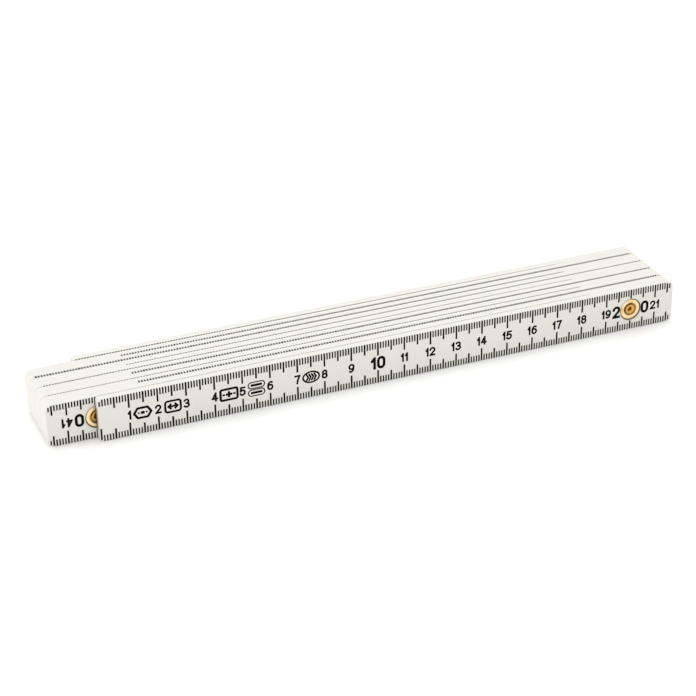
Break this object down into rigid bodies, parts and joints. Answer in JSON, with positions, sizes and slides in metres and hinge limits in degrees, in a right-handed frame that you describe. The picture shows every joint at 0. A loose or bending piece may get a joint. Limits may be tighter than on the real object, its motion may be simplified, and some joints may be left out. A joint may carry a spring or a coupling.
{
  "type": "folding rule",
  "caption": "Folding carpenter's rule: slim plastic leaves joined end to end by riveted, sprung pivots, folded into a flat stack and standing on its long edges.",
  "frame": {"origin": "middle of the folded stack, on the surface its long edges stand on", "axes": "+X along the leaves, +Y through the stack from the first leaf to the last, +Z across a leaf, up"},
  "size_m": [0.235, 0.0338, 0.0158],
  "materials": {
    "leaf_plastic": "satin white moulded plastic",
    "brass": "stamped, lightly polished",
    "spring_steel": "rolled strip",
    "scale_ink": "printed black scale"
  },
  "bodies": {
    "section_01": {"leaf_01": "leaf_plastic", "front_washer_01": "brass", "rivet_01": "brass", "spring_plate_01": "spring_steel"},
    "section_02": {"leaf_02": "leaf_plastic", "front_washer_02": "brass", "rivet_02": "brass", "spring_plate_02": "spring_steel", "back_washer_01": "brass", "catch_plate_01": "spring_steel"},
    "section_03": {"leaf_03": "leaf_plastic", "front_washer_03": "brass", "rivet_03": "brass", "spring_plate_03": "spring_steel", "back_washer_02": "brass", "catch_plate_02": "spring_steel"},
    "section_04": {"leaf_04": "leaf_plastic", "front_washer_04": "brass", "rivet_04": "brass", "spring_plate_04": "spring_steel", "back_washer_03": "brass", "catch_plate_03": "spring_steel"},
    "section_05": {"leaf_05": "leaf_plastic", "front_washer_05": "brass", "rivet_05": "brass", "spring_plate_05": "spring_steel", "back_washer_04": "brass", "catch_plate_04": "spring_steel"},
    "section_06": {"leaf_06": "leaf_plastic", "front_washer_06": "brass", "rivet_06": "brass", "spring_plate_06": "spring_steel", "back_washer_05": "brass", "catch_plate_05": "spring_steel"},
    "section_07": {"leaf_07": "leaf_plastic", "front_washer_07": "brass", "rivet_07": "brass", "spring_plate_07": "spring_steel", "back_washer_06": "brass", "catch_plate_06": "spring_steel"},
    "section_08": {"leaf_08": "leaf_plastic", "front_washer_08": "brass", "rivet_08": "brass", "spring_plate_08": "spring_steel", "back_washer_07": "brass", "catch_plate_07": "spring_steel"},
    "section_09": {"leaf_09": "leaf_plastic", "front_washer_09": "brass", "rivet_09": "brass", "spring_plate_09": "spring_steel", "back_washer_08": "brass", "catch_plate_08": "spring_steel"},
    "section_10": {"leaf_10": "leaf_plastic", "back_washer_09": "brass", "catch_plate_09": "spring_steel"}
  },
  "joints": [
    {"name": "pivot_01", "type": "hinge", "parent": "section_01", "child": "section_02", "pos_m": [0.1, -0.0136, 0.0079], "axis": [0, 1, 0], "range_deg": [-180, 180]},
    {"name": "pivot_02", "type": "hinge", "parent": "section_02", "child": "section_03", "pos_m": [-0.1, -0.0102, 0.0079], "axis": [0, -1, 0], "range_deg": [-180, 180]},
    {"name": "pivot_03", "type": "hinge", "parent": "section_03", "child": "section_04", "pos_m": [0.1, -0.0068, 0.0079], "axis": [0, 1, 0], "range_deg": [-180, 180]},
    {"name": "pivot_04", "type": "hinge", "parent": "section_04", "child": "section_05", "pos_m": [-0.1, -0.0034, 0.0079], "axis": [0, -1, 0], "range_deg": [-180, 180]},
    {"name": "pivot_05", "type": "hinge", "parent": "section_05", "child": "section_06", "pos_m": [0.1, 0, 0.0079], "axis": [0, 1, 0], "range_deg": [-180, 180]},
    {"name": "pivot_06", "type": "hinge", "parent": "section_06", "child": "section_07", "pos_m": [-0.1, 0.0034, 0.0079], "axis": [0, -1, 0], "range_deg": [-180, 180]},
    {"name": "pivot_07", "type": "hinge", "parent": "section_07", "child": "section_08", "pos_m": [0.1, 0.0068, 0.0079], "axis": [0, 1, 0], "range_deg": [-180, 180]},
    {"name": "pivot_08", "type": "hinge", "parent": "section_08", "child": "section_09", "pos_m": [-0.1, 0.0102, 0.0079], "axis": [0, -1, 0], "range_deg": [-180, 180]},
    {"name": "pivot_09", "type": "hinge", "parent": "section_09", "child": "section_10", "pos_m": [0.1, 0.0136, 0.0079], "axis": [0, 1, 0], "range_deg": [-180, 180]}
  ]
}
